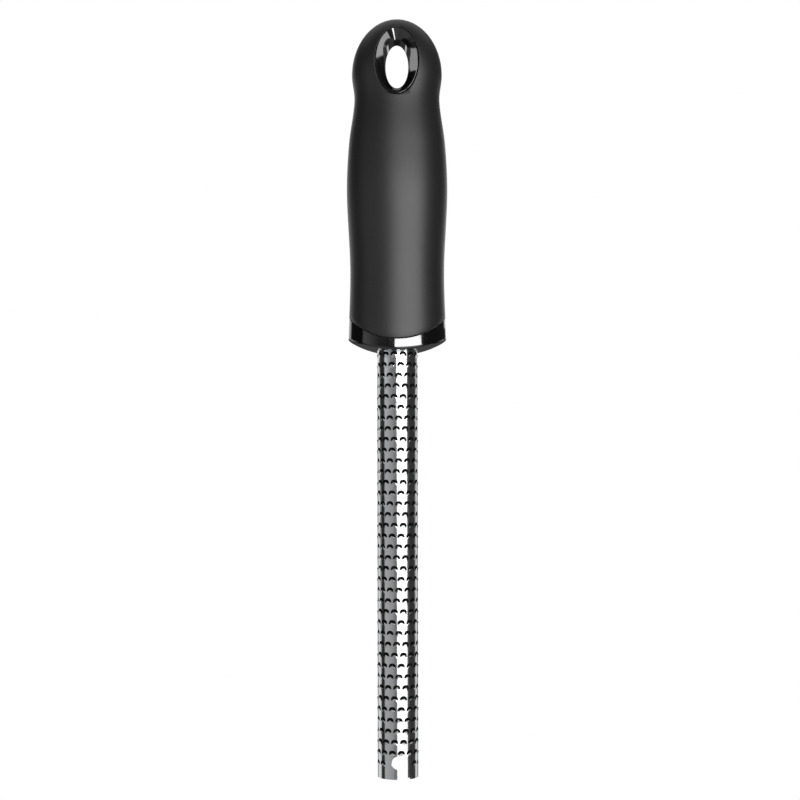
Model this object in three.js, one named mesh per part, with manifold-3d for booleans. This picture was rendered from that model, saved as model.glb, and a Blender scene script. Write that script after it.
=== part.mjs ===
// Hand-held spice grater: a rolled steel tube with cut and raised teeth, held in a soft-gripped handle.
// Millimetres. The tool hangs tip down, as from a hook: +Z runs up its axis, -Y is its front face and
// +X its right side. The origin is the middle of the hanging eyelet in the handle's head.

import * as THREE from 'three';
import { mergeVertices } from 'three/addons/utils/BufferGeometryUtils.js';
import Module from 'manifold-3d';

const wasm = await Module();
wasm.setup();

// Handle outline. A drop is a distance below the eyelet's middle, widths run along X, thicknesses along Y.
// The lip station lies just below the end, so the handle is still widening where it stops.
const CROWN_RISE = 16.9;
const HEAD_DROP = 3.0;
const HEAD_WIDTH = 31.8;
const HEAD_THICKNESS = 25.0;
const NECK_DROP = 12.0;
const NECK_WIDTH = 30.0;
const NECK_THICKNESS = 25.0;
const SHOULDER_DROP = 27.5;
const SHOULDER_WIDTH = 33.9;
const SHOULDER_THICKNESS = 28.0;
const BELLY_DROP = 44.7;
const BELLY_WIDTH = 35.4;
const BELLY_THICKNESS = 30.0;
const WAIST_DROP = 72.8;
const WAIST_WIDTH = 33.0;
const WAIST_THICKNESS = 28.0;
const LIP_DROP = 104.0;
const LIP_WIDTH = 34.6;
const LIP_THICKNESS = 29.6;

// The grip and the front cap both end in an arc, lowest in the middle of the tool
const GRIP_END_DROP = 97.3;
const GRIP_END_RADIUS = 22.0;
const CAP_END_DROP = 101.15;
const CAP_END_RADIUS = 38.0;

// Walls and fits inside the handle
const GRIP_WALL = 1.8;
const CORE_WALL = 2.0;
const RIB_THICKNESS = 1.6;
const UPPER_RIB_DROP = 30.0;
const LOWER_RIB_DROP = 47.0;
const FIT = 0.3;
const WELD_GAP = 0.1;

// Hanging eyelet: an oval tunnel, narrowest in the middle, that flares to a mouth on both faces. The flare
// is a straight cone at a roundness of 0 and a quarter round at 1.
const MOUTH_WIDTH = 15.4;
const MOUTH_HEIGHT = 24.8;
const EYELET_LIP = 0.5;
const EYELET_WALL = 1.6;
const THROAT_WIDTH = 8.06;
const THROAT_HEIGHT = 15.4;
const FLARE_ROUNDNESS = 0.5;

// Grater tube
const TUBE_DIAMETER = 14.0;
const TUBE_WALL = 0.5;
const BLADE_REACH = 147.2;
const TUBE_ROOT = 43.0;
const SEAM_GAP = 0.8;
const TIP_HOLE_DIAMETER = 4.5;
const TIP_HOLE_RISE = 5.6;
const NICK_WIDTH = 1.4;
const NICK_HEIGHT = 0.9;
const NICK_TURN = 33;

// Teeth: each is an arched slot with the sheet below it bent up into a cutting edge that faces the handle
const ROW_PITCH = 3.71;
const TEETH_AROUND = 14;
const ROW_SHIFTS_PER_PITCH = 4;
const FIRST_ROW_REACH = 0.65;
const FIRST_TOOTH_TURN = 16.1;
const TOOTH_WIDTH = 2.6;
const TOOTH_ARCH = 0.65;
const TOOTH_LEG = 0.85;
const EDGE_WIDTH = 1.2;
const EDGE_LIFT = 0.2;
const EDGE_SETBACK = 0.55;
const SLOT_TAPER = 0.2;
const SEAM_MARGIN = 1.0;
const HOLE_MARGIN = 0.4;
const TIP_MARGIN = 5.0;

// Pieces that hold the tube in the handle
const SPIGOT_RISE = 39.0;
const PIN_DIAMETER = 3.0;
const PIN_RISE = 26.0;
const PIN_PLAY = 0.25;
const PLUG_RECESS = 4.0;
const PLUG_FLANGE = 1.5;
const SEAL_RISE = 8.0;
const SEAL_HEIGHT = 2.4;
const SEAL_DEPTH = 1.7;
const SEAL_FIT = 0.12;

// Facet counts, and how far a cutting form runs past what it cuts
const OUTER_FACETS = 24;
const INNER_FACETS = 12;
const OUTER_DOME_RINGS = 5;
const INNER_DOME_RINGS = 2;
const CROWN_LEAN = 86;
const ROUND_FACETS = 20;
const HOLE_FACETS = 12;
const FUNNEL_RINGS = 4;
const OVERRUN = 8.0;
const MERGE_DISTANCE = 1e-5;

const tubeRadius = TUBE_DIAMETER / 2;
const boreRadius = tubeRadius - TUBE_WALL;
const capEnd = -CAP_END_DROP;
const tipEnd = capEnd - BLADE_REACH;
const rootEnd = capEnd + TUBE_ROOT;
const coreInset = GRIP_WALL + FIT;
const cavityInset = coreInset + CORE_WALL;
const spigotInset = cavityInset + FIT;

// A closed geometry becomes a solid that can be joined and cut, and comes back as a geometry
function solid(geometry) {
  const bare = geometry.clone();
  bare.deleteAttribute('normal');
  bare.deleteAttribute('uv');
  const merged = mergeVertices(bare, MERGE_DISTANCE);
  const vertProperties = new Float32Array(merged.attributes.position.array);
  const triVerts = new Uint32Array(merged.index.array);
  return new wasm.Manifold(new wasm.Mesh({ numProp: 3, vertProperties, triVerts }));
}

function geometryOf(body) {
  const mesh = body.getMesh();
  const geometry = new THREE.BufferGeometry();
  geometry.setAttribute('position', new THREE.BufferAttribute(new Float32Array(mesh.vertProperties), 3));
  geometry.setIndex(new THREE.BufferAttribute(new Uint32Array(mesh.triVerts), 1));
  return geometry;
}

function geometryFrom(points, triangles) {
  const geometry = new THREE.BufferGeometry().setFromPoints(points);
  geometry.setIndex(triangles.flat());
  return geometry;
}

// Rings of equally many points, in order, are skinned into a closed body with flat ends
function loft(rings) {
  const points = rings.flat();
  const count = rings[0].length;
  const triangles = [];
  for (let ring = 0; ring + 1 < rings.length; ring += 1) {
    for (let side = 0; side < count; side += 1) {
      const here = ring * count + side;
      const next = ring * count + ((side + 1) % count);
      triangles.push([here, next, next + count], [here, next + count, here + count]);
    }
  }
  const lastRing = (rings.length - 1) * count;
  for (let side = 1; side + 1 < count; side += 1) {
    triangles.push([0, side + 1, side], [lastRing, lastRing + side, lastRing + side + 1]);
  }
  return geometryFrom(points, triangles);
}

// A flat outline in the XZ plane, pushed through the tool along Y
function prismAlongY(shape, depth) {
  const options = { depth, bevelEnabled: false, curveSegments: ROUND_FACETS / 2 };
  const geometry = new THREE.ExtrudeGeometry(shape, options);
  geometry.translate(0, 0, -depth / 2);
  geometry.rotateX(Math.PI / 2);
  return solid(geometry);
}

function cylinderAlongZ(radius, bottom, top) {
  const geometry = new THREE.CylinderGeometry(radius, radius, top - bottom, ROUND_FACETS);
  geometry.rotateX(Math.PI / 2);
  geometry.translate(0, 0, (top + bottom) / 2);
  return solid(geometry);
}

function slab(bottom, top, front = -BELLY_THICKNESS, back = BELLY_THICKNESS) {
  const geometry = new THREE.BoxGeometry(2 * BELLY_WIDTH, back - front, top - bottom);
  geometry.translate(0, (front + back) / 2, (top + bottom) / 2);
  return solid(geometry);
}

// A smooth curve through [drop, size] stations, level at both ends
function smoothThrough(stations, drop) {
  const last = stations.length - 1;
  const slope = (at) => {
    if (at === 0 || at === last) return 0;
    return (stations[at + 1][1] - stations[at - 1][1]) / (stations[at + 1][0] - stations[at - 1][0]);
  };
  if (drop >= stations[last][0]) return stations[last][1];
  const at = stations.findIndex((station, place) => place < last && drop <= stations[place + 1][0]);
  const span = stations[at + 1][0] - stations[at][0];
  const t = (drop - stations[at][0]) / span;
  const rise = stations[at][1] * (1 + 2 * t) * (1 - t) ** 2 + span * slope(at) * t * (1 - t) ** 2;
  return rise + stations[at + 1][1] * t * t * (3 - 2 * t) - span * slope(at + 1) * t * t * (1 - t);
}

const widths = [
  [HEAD_DROP, HEAD_WIDTH],
  [NECK_DROP, NECK_WIDTH],
  [SHOULDER_DROP, SHOULDER_WIDTH],
  [BELLY_DROP, BELLY_WIDTH],
  [WAIST_DROP, WAIST_WIDTH],
  [LIP_DROP, LIP_WIDTH],
];
const thicknesses = [
  [HEAD_DROP, HEAD_THICKNESS],
  [NECK_DROP, NECK_THICKNESS],
  [SHOULDER_DROP, SHOULDER_THICKNESS],
  [BELLY_DROP, BELLY_THICKNESS],
  [WAIST_DROP, WAIST_THICKNESS],
  [LIP_DROP, LIP_THICKNESS],
];

function sectionRing(halfWidth, halfThickness, height, facets) {
  return Array.from({ length: facets }, (unused, side) => {
    const turn = (2 * Math.PI * side) / facets;
    return new THREE.Vector3(halfWidth * Math.cos(turn), halfThickness * Math.sin(turn), height);
  });
}

// The handle's whole outer form, shrunk by an inset, and long enough at its lower end for any cut.
// Forms that lie under the surface have half the facets, at the same places.
function handleBody(inset) {
  const hidden = inset > 0;
  const facets = hidden ? INNER_FACETS : OUTER_FACETS;
  const drops = [Math.max(LIP_DROP, CAP_END_DROP) + OVERRUN];
  for (let station = widths.length - 1; station > 0; station -= 1) {
    const lower = widths[station][0];
    const upper = widths[station - 1][0];
    drops.push(lower);
    if (!hidden) drops.push((lower + upper) / 2);
  }
  drops.push(HEAD_DROP);
  const rings = drops.map((drop) => {
    const halfWidth = smoothThrough(widths, drop) / 2 - inset;
    const halfThickness = smoothThrough(thicknesses, drop) / 2 - inset;
    return sectionRing(halfWidth, halfThickness, -drop, facets);
  });
  const domeHeight = CROWN_RISE + HEAD_DROP - inset;
  const domeRings = hidden ? INNER_DOME_RINGS : OUTER_DOME_RINGS;
  for (let ring = 1; ring <= domeRings; ring += 1) {
    const lean = THREE.MathUtils.degToRad((CROWN_LEAN * ring) / domeRings);
    const halfWidth = (HEAD_WIDTH / 2 - inset) * Math.cos(lean);
    const halfThickness = (HEAD_THICKNESS / 2 - inset) * Math.cos(lean);
    rings.push(sectionRing(halfWidth, halfThickness, domeHeight * Math.sin(lean) - HEAD_DROP, facets));
  }
  return solid(loft(rings));
}

// How far the handle's surface lies from the tool's middle plane at a point of the head
function surfaceDepth(x, z) {
  const drop = -z;
  let shrink = 1;
  if (drop < HEAD_DROP) {
    shrink = Math.sqrt(1 - ((HEAD_DROP - drop) / (CROWN_RISE + HEAD_DROP)) ** 2);
  }
  const halfWidth = (smoothThrough(widths, Math.max(drop, HEAD_DROP)) / 2) * shrink;
  const halfThickness = (smoothThrough(thicknesses, Math.max(drop, HEAD_DROP)) / 2) * shrink;
  return halfThickness * Math.sqrt(1 - (x / halfWidth) ** 2);
}

// All of the handle that lies above an end arc
function aboveEnd(drop, radius) {
  const centre = radius - drop;
  const outline = new THREE.Shape();
  outline.moveTo(-radius, CROWN_RISE + OVERRUN);
  outline.lineTo(-radius, centre);
  outline.absarc(0, centre, radius, Math.PI, 2 * Math.PI, false);
  outline.lineTo(radius, CROWN_RISE + OVERRUN);
  return prismAlongY(outline, 2 * BELLY_THICKNESS);
}

function ovalPrism(width, height) {
  const outline = new THREE.Shape();
  outline.absellipse(0, 0, width / 2, height / 2, 0, 2 * Math.PI, false);
  return prismAlongY(outline, 2 * BELLY_THICKNESS);
}

// The eyelet's tunnel, which widens from its throat to the handle's two faces
function eyeletTunnel() {
  const mouthX = MOUTH_WIDTH / 2 - FIT - EYELET_LIP;
  const mouthZ = MOUTH_HEIGHT / 2 - FIT - EYELET_LIP;
  const ring = (share, reach) => {
    const straight = Math.abs(share);
    const rounded = 1 - Math.sqrt(1 - share * share);
    const flare = straight + (rounded - straight) * FLARE_ROUNDNESS;
    const halfX = THROAT_WIDTH / 2 + (mouthX - THROAT_WIDTH / 2) * flare;
    const halfZ = THROAT_HEIGHT / 2 + (mouthZ - THROAT_HEIGHT / 2) * flare;
    return Array.from({ length: ROUND_FACETS }, (unused, side) => {
      const turn = (-2 * Math.PI * side) / ROUND_FACETS;
      const depth = surfaceDepth(mouthX * Math.cos(turn), mouthZ * Math.sin(turn));
      return new THREE.Vector3(halfX * Math.cos(turn), depth * reach, halfZ * Math.sin(turn));
    });
  };
  const rings = [];
  for (let step = -FUNNEL_RINGS; step <= FUNNEL_RINGS; step += 1) {
    const share = Math.sin((Math.PI / 2) * (step / FUNNEL_RINGS));
    rings.push(ring(share, share));
  }
  // The end rings run on past the faces, so that the cut is clean
  rings.unshift(ring(-1, -2));
  rings.push(ring(1, 2));
  return solid(loft(rings));
}

const mouthOpening = ovalPrism(MOUTH_WIDTH, MOUTH_HEIGHT);

// Soft skin moulded over the core, with an opening for the eyelet in both faces
function softGrip() {
  const skin = handleBody(0).subtract(handleBody(GRIP_WALL));
  return skin.intersect(aboveEnd(GRIP_END_DROP, GRIP_END_RADIUS)).subtract(mouthOpening);
}

// Hollow core with cross ribs and the eyelet's walls, still in one piece
function wholeCore() {
  const cavity = handleBody(cavityInset);
  let core = handleBody(coreInset).subtract(cavity);
  const ribOutline = handleBody(coreInset + CORE_WALL / 2);
  for (const drop of [UPPER_RIB_DROP, LOWER_RIB_DROP]) {
    core = core.add(ribOutline.intersect(slab(-drop, RIB_THICKNESS - drop)));
  }
  const eyeletWall = ovalPrism(MOUTH_WIDTH + 2 * EYELET_WALL, MOUTH_HEIGHT + 2 * EYELET_WALL);
  const eyeletRim = ovalPrism(MOUTH_WIDTH - 2 * FIT, MOUTH_HEIGHT - 2 * FIT);
  core = core.add(eyeletWall.intersect(handleBody(coreInset)));
  core = core.add(eyeletRim.intersect(handleBody(0)));
  return core.subtract(eyeletTunnel()).intersect(aboveEnd(GRIP_END_DROP, GRIP_END_RADIUS));
}

// The tool's cross pin lies along X
function pinHole(diameter, length) {
  const geometry = new THREE.CylinderGeometry(diameter / 2, diameter / 2, length, HOLE_FACETS);
  geometry.rotateZ(Math.PI / 2);
  geometry.translate(0, 0, capEnd + PIN_RISE);
  return solid(geometry);
}

const pinHoleDiameter = PIN_DIAMETER + 2 * PIN_PLAY;
const crossHole = pinHole(pinHoleDiameter, 2 * BELLY_WIDTH);

function ringAlongZ(inner, outer, bottom, top) {
  const outline = [
    new THREE.Vector2(inner, bottom),
    new THREE.Vector2(outer, bottom),
    new THREE.Vector2(outer, top),
    new THREE.Vector2(inner, top),
    new THREE.Vector2(inner, bottom),
  ];
  const geometry = new THREE.LatheGeometry(outline, ROUND_FACETS);
  geometry.rotateX(Math.PI / 2);
  return solid(geometry);
}

const sleeveRadius = tubeRadius + FIT;
const grooveRadius = sleeveRadius + SEAL_DEPTH;

// Glossy band and domed end, with a spigot that plugs the core's mouth and sleeves the tube
function frontCap() {
  const band = handleBody(0)
    .intersect(aboveEnd(CAP_END_DROP, CAP_END_RADIUS))
    .subtract(aboveEnd(GRIP_END_DROP + FIT, GRIP_END_RADIUS));
  const spigot = handleBody(spigotInset).intersect(slab(-GRIP_END_DROP - FIT, capEnd + SPIGOT_RISE));
  const sleeve = cylinderAlongZ(sleeveRadius, capEnd - OVERRUN, capEnd + SPIGOT_RISE + OVERRUN);
  const groove = cylinderAlongZ(grooveRadius, capEnd + SEAL_RISE, capEnd + SEAL_RISE + SEAL_HEIGHT);
  return band.add(spigot).subtract(sleeve).subtract(groove).subtract(crossHole);
}

const rowCount = Math.floor((BLADE_REACH - FIRST_ROW_REACH - TIP_MARGIN) / ROW_PITCH) + 1;
const tipHoleHeight = tipEnd + TIP_HOLE_RISE;

// The steel sheet with its teeth, rolled so that the seam runs down the back. Angles start at the front.
function tubeSheet() {
  const points = [];
  const triangles = [];
  const angleOf = [];
  const at = (angle, radius, height) => {
    points.push(new THREE.Vector3(radius * Math.sin(angle), -radius * Math.cos(angle), height));
    angleOf.push(angle);
    return points.length - 1;
  };
  const pair = (angle, height) => {
    return { out: at(angle, tubeRadius, height), in: at(angle, boreRadius, height) };
  };

  // Fills the strip between two rows of points, both in order of angle
  const strip = (upper, lower, inward) => {
    let up = 0;
    let low = 0;
    while (up + 1 < upper.length || low + 1 < lower.length) {
      const stepUp = up + 1 < upper.length ? angleOf[upper[up + 1]] : Infinity;
      const stepLow = low + 1 < lower.length ? angleOf[lower[low + 1]] : Infinity;
      const corner = stepUp < stepLow ? upper[up + 1] : lower[low + 1];
      const triangle = [upper[up], lower[low], corner];
      triangles.push(inward ? triangle.reverse() : triangle);
      if (stepUp < stepLow) up += 1;
      else low += 1;
    }
  };

  const seamAngle = Math.PI - SEAM_GAP / 2 / tubeRadius;
  const toothHalf = TOOTH_WIDTH / 2 / tubeRadius;
  const edgeHalf = EDGE_WIDTH / 2 / tubeRadius;
  const seamHalf = toothHalf + SEAM_MARGIN / tubeRadius;
  const holeReach = TIP_HOLE_DIAMETER / 2 + HOLE_MARGIN;
  const holeHalf = toothHalf + holeReach / tubeRadius;

  // No tooth is cut close to the seam, to the tip hole or to the notch behind it
  const isPlain = (angle, height) => {
    const fromFront = Math.abs(angle);
    const aboveFoot = height + TOOTH_ARCH > tipHoleHeight - holeReach;
    const belowTop = height - TOOTH_LEG < tipHoleHeight + holeReach;
    const facesHole = fromFront < holeHalf || Math.PI - fromFront < holeHalf;
    return seamAngle - fromFront < seamHalf || (aboveFoot && belowTop && facesHole);
  };

  // One tooth: the slot's corners and arch on both skins, and the raised edge between them
  const tooth = (angle, height) => {
    const foot = height - TOOTH_LEG;
    const left = at(angle - toothHalf, tubeRadius, foot);
    const right = at(angle + toothHalf, tubeRadius, foot);
    const arch = at(angle, tubeRadius, height + TOOTH_ARCH);
    const edgeLeft = at(angle - edgeHalf, tubeRadius + EDGE_LIFT, height + TOOTH_ARCH - EDGE_SETBACK);
    const edgeRight = at(angle + edgeHalf, tubeRadius + EDGE_LIFT, height + TOOTH_ARCH - EDGE_SETBACK);
    const taper = SLOT_TAPER / tubeRadius;
    const leftIn = at(angle - toothHalf + taper, boreRadius, foot + SLOT_TAPER);
    const rightIn = at(angle + toothHalf - taper, boreRadius, foot + SLOT_TAPER);
    const archIn = at(angle, boreRadius, height + TOOTH_ARCH - SLOT_TAPER);
    triangles.push([left, right, edgeRight], [left, edgeRight, edgeLeft]);
    triangles.push([left, edgeLeft, leftIn], [edgeLeft, rightIn, leftIn]);
    triangles.push([edgeLeft, edgeRight, rightIn], [edgeRight, right, rightIn]);
    triangles.push([left, leftIn, archIn], [left, archIn, arch]);
    triangles.push([arch, archIn, rightIn], [arch, rightIn, right]);
    return {
      footOut: [left, right],
      archOut: [left, arch, right],
      footIn: [leftIn, rightIn],
      archIn: [leftIn, archIn, rightIn],
    };
  };

  const pitch = (2 * Math.PI) / TEETH_AROUND;
  const plainRow = (height) => {
    const pairs = Array.from({ length: ROUND_FACETS + 1 }, (unused, step) => {
      return pair(seamAngle * ((2 * step) / ROUND_FACETS - 1), height);
    });
    const out = pairs.map((place) => place.out);
    const inside = pairs.map((place) => place.in);
    return { footOut: out, archOut: out, footIn: inside, archIn: inside };
  };
  const toothRow = (row) => {
    const height = capEnd - FIRST_ROW_REACH - row * ROW_PITCH;
    const start = THREE.MathUtils.degToRad(FIRST_TOOTH_TURN) - (row * pitch) / ROW_SHIFTS_PER_PITCH;
    const first = start - Math.floor((start + seamAngle) / pitch) * pitch;
    const begin = pair(-seamAngle, height - TOOTH_LEG);
    const chains = { footOut: [begin.out], archOut: [begin.out], footIn: [begin.in], archIn: [begin.in] };
    for (let angle = first; angle < seamAngle; angle += pitch) {
      const plain = isPlain(angle, height);
      const place = plain ? pair(angle, height - TOOTH_LEG) : null;
      const piece = plain
        ? { footOut: [place.out], archOut: [place.out], footIn: [place.in], archIn: [place.in] }
        : tooth(angle, height);
      for (const name of Object.keys(chains)) chains[name].push(...piece[name]);
    }
    const end = pair(seamAngle, height - TOOTH_LEG);
    for (const name of Object.keys(chains)) chains[name].push(name.endsWith('Out') ? end.out : end.in);
    return chains;
  };

  const rows = [plainRow(rootEnd)];
  for (let row = 0; row < rowCount; row += 1) rows.push(toothRow(row));
  rows.push(plainRow(tipEnd));
  for (let row = 0; row + 1 < rows.length; row += 1) {
    const upper = rows[row];
    const lower = rows[row + 1];
    strip(upper.footOut, lower.archOut, false);
    strip(upper.footIn, lower.archIn, true);
    const edges = [upper.footOut, lower.archOut, lower.archIn, upper.footIn];
    for (const end of [0, -1]) {
      const corners = edges.map((chain) => chain.at(end));
      const faces = [[corners[0], corners[2], corners[1]], [corners[0], corners[3], corners[2]]];
      for (const face of faces) triangles.push(end === 0 ? face : face.reverse());
    }
  }
  strip(rows[0].footIn, rows[0].footOut, false);
  strip(rows.at(-1).footOut, rows.at(-1).footIn, false);
  return solid(geometryFrom(points, triangles));
}

// An outline in the XZ plane, pushed through the tube's front wall
function frontCut(outline) {
  const options = { depth: TUBE_DIAMETER, bevelEnabled: false, curveSegments: ROUND_FACETS / 2 };
  const geometry = new THREE.ExtrudeGeometry(outline, options);
  geometry.rotateX(Math.PI / 2);
  return geometry;
}

// The rolled sheet with its pin hole, its tip hole, the notch behind that hole and a nick in the tip rim.
// The notch is as wide as the hole, reaches up to the hole's middle and is open to the rim.
function graterTube() {
  const holeRadius = TIP_HOLE_DIAMETER / 2;
  const holeOutline = new THREE.Shape();
  holeOutline.absarc(0, tipHoleHeight, holeRadius, 0, 2 * Math.PI, false);
  const tipHole = frontCut(holeOutline);
  const notchOutline = new THREE.Shape();
  notchOutline.moveTo(-holeRadius, tipEnd - OVERRUN);
  notchOutline.lineTo(holeRadius, tipEnd - OVERRUN);
  notchOutline.absarc(0, tipHoleHeight - holeRadius, holeRadius, 0, Math.PI, false);
  const notch = frontCut(notchOutline);
  notch.translate(0, TUBE_DIAMETER, 0);
  const nickOutline = new THREE.Shape();
  nickOutline.moveTo(-NICK_WIDTH / 2, tipEnd - NICK_HEIGHT);
  nickOutline.lineTo(NICK_WIDTH / 2, tipEnd - NICK_HEIGHT);
  nickOutline.lineTo(0, tipEnd + NICK_HEIGHT);
  const nick = frontCut(nickOutline);
  nick.rotateZ(THREE.MathUtils.degToRad(NICK_TURN));
  const cuts = [tipHole, notch, nick].map(solid);
  return cuts.reduce((sheet, cut) => sheet.subtract(cut), tubeSheet().subtract(crossHole));
}

// Plug that keeps the tube's root round and closes it, with a flange over the tube's end
function tubePlug() {
  const stem = cylinderAlongZ(boreRadius - FIT, capEnd + PLUG_RECESS, rootEnd + FIT + PLUG_FLANGE);
  const flange = cylinderAlongZ(tubeRadius, rootEnd + FIT, rootEnd + FIT + PLUG_FLANGE);
  return stem.add(flange).subtract(crossHole);
}

function lockPin() {
  const spigotWidth = smoothThrough(widths, CAP_END_DROP - PIN_RISE) - 2 * spigotInset;
  return pinHole(PIN_DIAMETER, spigotWidth - 2 * FIT);
}

function tubeSeal() {
  const bottom = capEnd + SEAL_RISE + SEAL_FIT;
  const top = capEnd + SEAL_RISE + SEAL_HEIGHT - SEAL_FIT;
  return ringAlongZ(tubeRadius + SEAL_FIT, grooveRadius - SEAL_FIT, bottom, top);
}

const softRubber = new THREE.MeshStandardMaterial({ color: 0x343436, roughness: 0.75, metalness: 0 });
const glossBlack = new THREE.MeshStandardMaterial({ color: 0x0c0c0e, roughness: 0.12, metalness: 0 });
const etchedSteel = new THREE.MeshStandardMaterial({ color: 0xc9cbcd, roughness: 0.22, metalness: 1 });
const pinSteel = new THREE.MeshStandardMaterial({ color: 0xb4b6b9, roughness: 0.35, metalness: 1 });
const plugPlastic = new THREE.MeshStandardMaterial({ color: 0x1c1c1e, roughness: 0.5, metalness: 0 });
const sealRubber = new THREE.MeshStandardMaterial({ color: 0x232325, roughness: 0.85, metalness: 0 });

const grater = new THREE.Group();
function addPiece(name, body, material) {
  const piece = new THREE.Mesh(geometryOf(body), material);
  piece.name = name;
  grater.add(piece);
}

const core = wholeCore();
addPiece('soft_grip', softGrip(), softRubber);
const frontSide = slab(-CAP_END_DROP, CROWN_RISE, -BELLY_THICKNESS, -WELD_GAP / 2);
const rearSide = slab(-CAP_END_DROP, CROWN_RISE, WELD_GAP / 2, BELLY_THICKNESS);
addPiece('handle_core_front', core.intersect(frontSide), glossBlack);
addPiece('handle_core_rear', core.intersect(rearSide), glossBlack);
addPiece('front_cap', frontCap(), glossBlack);
addPiece('grater_tube', graterTube(), etchedSteel);
addPiece('tube_plug', tubePlug(), plugPlastic);
addPiece('lock_pin', lockPin(), pinSteel);
addPiece('tube_seal', tubeSeal(), sealRubber);

export default grater;
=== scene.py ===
"""Hand-held spice grater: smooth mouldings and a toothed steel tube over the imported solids."""

import math

import bmesh
import bpy
from bpy.props import FloatProperty, FloatVectorProperty, IntProperty, PointerProperty
from mathutils import Euler, Matrix, Vector


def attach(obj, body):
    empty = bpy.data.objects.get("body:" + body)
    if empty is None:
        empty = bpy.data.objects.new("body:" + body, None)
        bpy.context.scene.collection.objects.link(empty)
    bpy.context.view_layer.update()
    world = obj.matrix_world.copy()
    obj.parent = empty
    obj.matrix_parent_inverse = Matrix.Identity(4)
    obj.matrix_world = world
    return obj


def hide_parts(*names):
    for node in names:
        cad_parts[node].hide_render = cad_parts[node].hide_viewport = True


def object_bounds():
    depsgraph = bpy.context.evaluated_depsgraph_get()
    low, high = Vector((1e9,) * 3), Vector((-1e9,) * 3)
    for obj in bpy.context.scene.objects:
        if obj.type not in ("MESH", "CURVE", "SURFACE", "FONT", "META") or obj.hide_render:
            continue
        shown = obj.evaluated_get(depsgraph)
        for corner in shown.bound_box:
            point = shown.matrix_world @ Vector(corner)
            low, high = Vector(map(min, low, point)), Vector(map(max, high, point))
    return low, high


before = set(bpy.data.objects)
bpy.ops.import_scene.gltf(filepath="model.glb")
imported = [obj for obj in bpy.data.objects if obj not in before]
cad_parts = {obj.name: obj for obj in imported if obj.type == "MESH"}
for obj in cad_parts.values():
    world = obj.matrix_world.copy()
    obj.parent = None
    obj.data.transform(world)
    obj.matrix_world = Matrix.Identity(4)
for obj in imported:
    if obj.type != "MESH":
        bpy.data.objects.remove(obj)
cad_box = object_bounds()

bl_info = {
    "name": "Spice grater",
    "version": (1, 0, 0),
    "blender": (4, 5, 0),
    "location": "View3D > Sidebar > Grater",
    "description": "Models the handle, end cap and toothed tube of a hand-held spice grater",
    "category": "Add Mesh",
}

MM = 0.001
BODY = "root"
SMOOTH_ANGLE = math.radians(35)
MERGE_DISTANCE = 1e-6
# Points around the shown mouldings, the cutter for the skin's mouths, plain forms and the pin's hole
FINE_COUNT = 96
MOUTH_COUNT = 80
PLAIN_COUNT = 48
PIN_COUNT = 24
# The highest ring of a dome stands just off its crown
CROWN_LEAN = math.radians(88.5)
# A ring's width and the arched end it meets depend on each other, and settle in a few rounds
SETTLE_ROUNDS = 4


def length(name, description, millimetres):
    return FloatProperty(name=name, description=description, default=millimetres * MM, unit="LENGTH")


def lengths(name, description, millimetres):
    default = [size * MM for size in millimetres]
    return FloatVectorProperty(name=name, description=description, default=default, size=len(default),
                               unit="LENGTH")


def turn(name, description, degrees):
    return FloatProperty(name=name, description=description, default=math.radians(degrees), unit="ROTATION")


def factor(name, description, default):
    return FloatProperty(name=name, description=description, default=default, min=0, max=1,
                         subtype="FACTOR")


def linear(code):
    """An sRGB hex colour as linear red, green and blue."""
    shares = [int(code[at:at + 2], 16) / 255 for at in (1, 3, 5)]
    return [s / 12.92 if s <= 0.04045 else ((s + 0.055) / 1.055) ** 2.4 for s in shares]


def colour(name, description, code):
    return FloatVectorProperty(name=name, description=description, default=linear(code), size=3,
                               min=0, max=1, subtype="COLOR")


class GRATER_PG_handle(bpy.types.PropertyGroup):
    """Sizes of the handle. A station is its drop below the eyelet's middle, its width and its thickness."""
    crown_rise: length("Crown rise", "Top of the head above the eyelet's middle", 16.9)
    head: lengths("Head", "Widest part of the head", (3.0, 31.8, 25.0))
    neck: lengths("Neck", "Narrowest part under the head", (12.0, 30.0, 25.0))
    shoulder: lengths("Shoulder", "Where the grip swells to its belly", (27.5, 33.9, 28.0))
    belly: lengths("Belly", "Widest part of the grip", (44.7, 35.4, 30.0))
    waist: lengths("Waist", "Narrowest part of the lower grip", (72.8, 33.0, 28.0))
    lip: lengths("Lip", "Flared lower end", (104.0, 34.6, 29.6))
    end_drop: length("Grip end", "Lowest point of the grip's arched end", 97.3)
    end_radius: length("Grip end radius", "Radius of the grip's arched end", 22.0)
    edge_round: length("Edge round", "Rounding of the grip's lower edge", 0.35)
    grip_wall: length("Grip wall", "Thickness of the soft skin", 1.8)
    core_wall: length("Core wall", "Thickness of the hard core", 2.0)
    fit: length("Fit", "Clearance between the mouldings", 0.3)
    weld_gap: length("Weld gap", "Line between the two halves of the core", 0.1)


class GRATER_PG_eyelet(bpy.types.PropertyGroup):
    """Sizes of the hanging eyelet, an oval tunnel that widens to a mouth on both faces."""
    mouth_width: length("Mouth width", "Opening in the soft skin, across", 15.4)
    mouth_height: length("Mouth height", "Opening in the soft skin, along the tool", 24.8)
    throat_width: length("Throat width", "Narrowest part of the tunnel, across", 8.06)
    throat_height: length("Throat height", "Narrowest part of the tunnel, along the tool", 15.4)
    flare_share: factor("Flare share", "How much of the flare is round, the rest is straight", 0.5)
    bevel_depth: length("Bevel depth", "Depth of the flat bevel around the front mouth", 2.2)
    taper_share: factor("Taper share", "Share of the widening between throat and bevel", 0.15)
    rim_round: length("Rim round", "Rounding of the rim beside the soft skin", 0.2)
    wall: length("Wall", "Wall that carries the rim under the skin", 1.6)
    edge_round: length("Edge round", "Rounding of the soft skin at the mouth", 0.3)


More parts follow.
